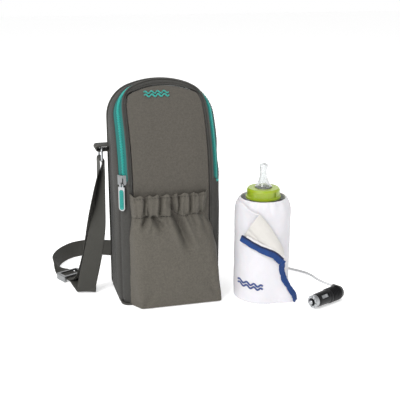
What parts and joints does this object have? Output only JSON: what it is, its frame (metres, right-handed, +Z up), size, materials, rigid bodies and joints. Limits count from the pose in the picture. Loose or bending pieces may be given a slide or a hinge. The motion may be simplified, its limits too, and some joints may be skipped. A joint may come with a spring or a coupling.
{
  "type": "bottle warmer",
  "caption": "Travel bottle warmer: insulated carry bag with zipped fold-down lid and shoulder strap, and a heated wrap sleeve with bottle, lead and car-socket plug.",
  "frame": {"origin": "centre of the carry bag's base, on the surface it stands on", "axes": "+Z up, the bag's front faces -Y, the heated sleeve stands on the +X side"},
  "size_m": [0.3591, 0.2776, 0.2787],
  "materials": {
    "dark_fabric": "woven polyester, charcoal brown",
    "light_fabric": "woven polyester, warm taupe",
    "pocket_fabric": "woven polyester, warm taupe, gathered",
    "foam": "closed-cell polyethylene foam",
    "foil_lining": "metallised insulating lining",
    "zip_teal": "coil zip and its tape, teal",
    "metal_bright": "nickel plated, polished",
    "pull_rubber": "moulded soft insert, teal",
    "elastic": "covered elastic",
    "webbing": "woven strap webbing, charcoal",
    "sleeve_fleece": "soft brushed white fabric",
    "sleeve_tape": "hook and loop tape, white",
    "sleeve_lining": "smooth beige lining",
    "thermostat_plastic": "moulded",
    "carrier_film": "polyimide carrier film",
    "heater_alloy": "resistance wire",
    "binding_blue": "woven edge binding, blue",
    "bottle_clear": "clear moulded bottle",
    "teat_silicone": "translucent silicone",
    "collar_green": "moulded, lime green",
    "cord_grey": "soft light grey sheath",
    "plug_black": "moulded, black",
    "spring_steel": "drawn wire",
    "fuse_glass": "glass fuse",
    "boot_black": "flexible strain relief, black"
  },
  "bodies": {
    "bag": {"base_panel": "dark_fabric", "back_panel": "dark_fabric", "gusset": "dark_fabric", "front_panel": "light_fabric", "bag_foam": "foam", "bag_lining": "foil_lining", "zip_tape_bag": "zip_teal", "zip_coil_bag": "zip_teal", "zip_stops": "metal_bright", "pocket_front": "pocket_fabric", "pocket_band": "pocket_fabric", "pocket_elastic": "elastic", "side_tab_left": "webbing", "side_tab_right": "webbing", "strap": "webbing"},
    "lid": {"lid_panel": "light_fabric", "lid_border": "dark_fabric", "lid_foam": "foam", "lid_lining": "foil_lining", "zip_tape_lid": "zip_teal", "zip_coil_lid": "zip_teal", "lid_piping": "dark_fabric"},
    "slider": {"zip_slider": "metal_bright"},
    "pull": {"pull_frame": "metal_bright", "pull_insert": "pull_rubber"},
    "left_ring": {"ring_left": "metal_bright"},
    "right_ring": {"ring_right": "metal_bright"},
    "adjuster": {"strap_adjuster": "metal_bright"},
    "warmer": {"sleeve_cover": "sleeve_fleece", "hook_tape": "sleeve_tape", "sleeve_base": "sleeve_fleece", "sleeve_lining": "sleeve_lining", "sleeve_foam": "foam", "thermostat": "thermostat_plastic", "heater_carrier": "carrier_film", "heating_wire": "heater_alloy", "cable_gland": "cord_grey", "cord_to_coil": "cord_grey", "cord_coil": "cord_grey", "cord_to_plug": "cord_grey", "plug_shell_upper": "plug_black", "plug_shell_lower": "plug_black", "tip_spring": "spring_steel", "plug_fuse": "fuse_glass", "plug_boot": "boot_black"},
    "flap": {"flap_cover": "sleeve_fleece", "flap_lining": "sleeve_lining", "flap_corner": "sleeve_lining", "flap_binding": "binding_blue", "loop_tape": "sleeve_tape"},
    "bottle": {"bottle_body": "bottle_clear"},
    "teat_seat": {"teat": "teat_silicone"},
    "screw_collar": {"collar": "collar_green"},
    "nose_ring": {"plug_nose_ring": "metal_bright"},
    "centre_contact": {"plug_tip": "metal_bright"},
    "contact_up": {"side_contact_upper": "metal_bright"},
    "contact_down": {"side_contact_lower": "metal_bright"}
  },
  "joints": [
    {"name": "lid_fold", "type": "hinge", "parent": "bag", "child": "lid", "pos_m": [0, -0.0412, 0.1713], "axis": [1, 0, 0], "range_deg": [0, 88]},
    {"name": "zip_travel", "type": "hinge", "parent": "bag", "child": "slider", "pos_m": [0, 0.137, 0.144], "axis": [-1, 0, 0], "range_deg": [0, 19]},
    {"name": "pull_swing", "type": "hinge", "parent": "slider", "child": "pull", "pos_m": [-0.06253, -0.04064, 0.1605], "axis": [-0.7273, 0.6863, 0], "range_deg": [0, 150]},
    {"name": "left_ring_swing", "type": "hinge", "parent": "bag", "child": "left_ring", "pos_m": [-0.078, 0.026, 0.1937], "axis": [0, 1, 0], "range_deg": [-20, 60], "deforming": ["strap"]},
    {"name": "right_ring_swing", "type": "hinge", "parent": "bag", "child": "right_ring", "pos_m": [0.071, 0.03, 0.1937], "axis": [0, -1, 0], "range_deg": [-8, 60], "deforming": ["strap"]},
    {"name": "adjuster_slide", "type": "slide", "parent": "bag", "child": "adjuster", "axis": [0.44, -0.898, 0], "range_m": [-0.006, 0.006]},
    {"name": "warmer_lift", "type": "slide", "parent": "bag", "child": "warmer", "axis": [0, 0, 1], "range_m": [0, 0.3]},
    {"name": "flap_open", "type": "hinge", "parent": "warmer", "child": "flap", "pos_m": [0.083, -0.04411, 0.06], "axis": [0, 0, -1], "range_deg": [0, 60]},
    {"name": "bottle_lift", "type": "slide", "parent": "warmer", "child": "bottle", "axis": [0, 0, 1], "range_m": [0, 0.15]},
    {"name": "teat_lift", "type": "slide", "parent": "bottle", "child": "teat_seat", "axis": [0, 0, 1], "range_m": [0, 0.04]},
    {"name": "collar_turn", "type": "hinge", "parent": "teat_seat", "child": "screw_collar", "pos_m": [0.1186, -0.0479, 0.14], "axis": [0, 0, 1], "range_deg": [0, 2412]},
    {"name": "nose_ring_turn", "type": "hinge", "parent": "warmer", "child": "nose_ring", "pos_m": [0.1636, -0.1132, 0.00975], "axis": [0.9026, 0.4305, 0], "continuous": true},
    {"name": "tip_press", "type": "slide", "parent": "warmer", "child": "centre_contact", "axis": [0.9026, 0.4305, 0], "range_m": [0, 0.002], "stiffness_N_per_m": 1500, "springref_m": -0.0005, "deforming": ["tip_spring"]},
    {"name": "contact_up_press", "type": "slide", "parent": "warmer", "child": "contact_up", "axis": [-0.3392, 0.7112, -0.6157], "range_m": [0, 0.0008], "stiffness_N_per_m": 1200, "springref_m": -0.0004},
    {"name": "contact_down_press", "type": "slide", "parent": "warmer", "child": "contact_down", "axis": [0.3392, -0.7112, 0.6157], "range_m": [0, 0.0008], "stiffness_N_per_m": 1200, "springref_m": -0.0004}
  ],
  "couplings": [
    {"joint": "collar_turn", "follows": "teat_lift", "rad_per_m": 1047.2}
  ]
}
